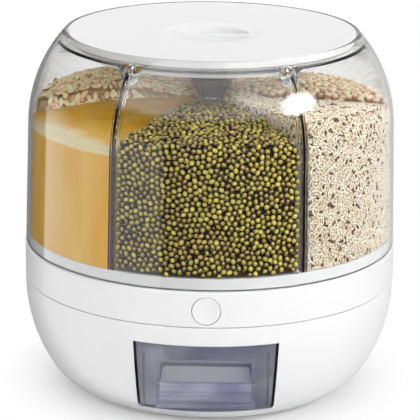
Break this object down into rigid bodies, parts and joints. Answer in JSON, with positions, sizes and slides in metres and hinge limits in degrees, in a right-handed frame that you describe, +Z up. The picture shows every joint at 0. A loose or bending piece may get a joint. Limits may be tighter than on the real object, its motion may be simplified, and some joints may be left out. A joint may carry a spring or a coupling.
{
  "type": "rotating grain dispenser",
  "caption": "Countertop dry-food keeper: a clear divided barrel turns on a white base, and a push button lets grain fall through a shutter into a pull-out drawer.",
  "frame": {"origin": "on the table under the middle of the round base", "axes": "+Z up along the barrel axis, -Y towards the front with the button and drawer, +X to the right seen from the front"},
  "size_m": [0.311, 0.311, 0.3015],
  "materials": {
    "white_shell": "gloss",
    "clear_barrel": "clear gloss",
    "smoked_drawer": "smoked clear gloss",
    "frosted_parts": "frosted",
    "soft_rubber": "matte",
    "bright_steel": "bright",
    "slide_plastic": "satin"
  },
  "bodies": {
    "base": {"base_bowl": "white_shell", "base_top": "white_shell", "outlet_chute": "white_shell", "rail_left": "white_shell", "rail_right": "white_shell", "rubber_feet": "soft_rubber", "case_screws": "bright_steel", "return_spring": "bright_steel", "pivot_post": "bright_steel", "pivot_washer": "bright_steel", "pivot_nut": "bright_steel"},
    "barrel": {"barrel_shell": "clear_barrel", "barrel_floor": "white_shell", "pivot_bush": "slide_plastic", "centre_column": "frosted_parts", "divider_1": "clear_barrel", "divider_2": "clear_barrel", "divider_3": "clear_barrel", "divider_4": "clear_barrel", "divider_5": "clear_barrel", "divider_6": "clear_barrel"},
    "cage": {"roller_cage": "slide_plastic", "rollers": "slide_plastic"},
    "lid": {"lid_cover": "white_shell", "lid_seal": "soft_rubber", "drying_box": "frosted_parts"},
    "drawer": {"drawer": "smoked_drawer"},
    "button": {"button_cap": "white_shell", "shutter_plate": "white_shell"}
  },
  "joints": [
    {"name": "barrel_turn", "type": "hinge", "parent": "base", "child": "barrel", "pos_m": [0, 0, 0.1238], "axis": [0, 0, 1], "continuous": true},
    {"name": "cage_turn", "type": "hinge", "parent": "base", "child": "cage", "pos_m": [0, 0, 0.1238], "axis": [0, 0, 1], "continuous": true},
    {"name": "lid_lift", "type": "slide", "parent": "barrel", "child": "lid", "axis": [0, 0, 1], "range_m": [0, 0.12]},
    {"name": "drawer_pull", "type": "slide", "parent": "base", "child": "drawer", "axis": [0, -1, 0], "range_m": [0, 0.125]},
    {"name": "button_push", "type": "slide", "parent": "base", "child": "button", "axis": [0, 1, 0], "range_m": [0, 0.011], "stiffness_N_per_m": 350, "deforming": ["return_spring"]}
  ],
  "couplings": [
    {"joint": "cage_turn", "follows": "barrel_turn", "ratio": 0.5}
  ]
}
